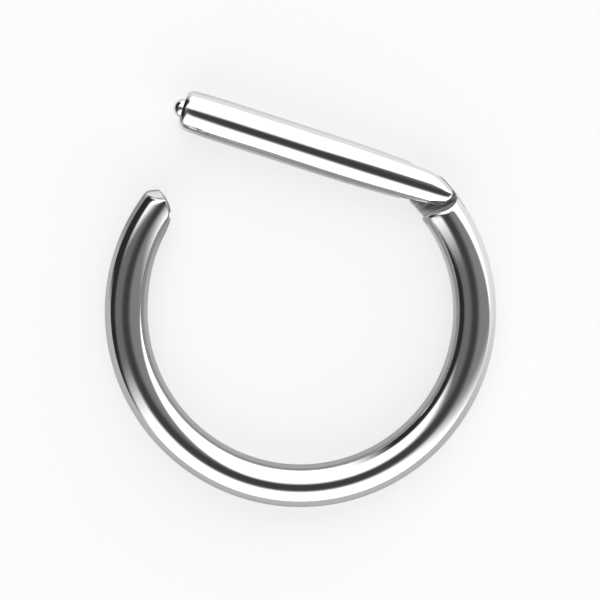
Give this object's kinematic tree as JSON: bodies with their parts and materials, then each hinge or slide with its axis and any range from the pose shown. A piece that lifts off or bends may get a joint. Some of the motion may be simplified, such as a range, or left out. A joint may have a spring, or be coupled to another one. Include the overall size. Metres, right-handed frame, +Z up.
{
  "type": "d-ring earring",
  "caption": "Hinged D-shaped clicker earring of round polished steel wire, lying open on its side; the straight bar swings on a rivet and clicks into the end of the arc.",
  "frame": {"origin": "Middle of the outline of the open ring, on the surface it lies on. The ring lies on its side, so the plane of the D is XY and the wire rests on z = 0.", "axes": "+Z up, square to the plane of the D and along the hinge pin; +X along the straight side of the closed D, towards the hinge; +Y towards the straight side, which stands open."},
  "size_m": [0.011, 0.012, 0.0012],
  "materials": {
    "polished_steel": "mirror-polished surgical steel",
    "bar_steel": "mirror-polished surgical steel, drawn along the bar",
    "pin_steel": "polished steel, ends ground flush",
    "nub_steel": "polished steel, turned round end"
  },
  "bodies": {
    "arc": {"ring_arc": "polished_steel"},
    "bar": {"hinged_bar": "bar_steel", "hinge_pin": "pin_steel", "catch_nub": "nub_steel"}
  },
  "joints": [
    {"name": "hinge", "type": "hinge", "parent": "arc", "child": "bar", "pos_m": [0.00405, 0.00266, 0.0006], "axis": [0, 0, -1], "range_deg": [-22.3, 97.7]}
  ]
}
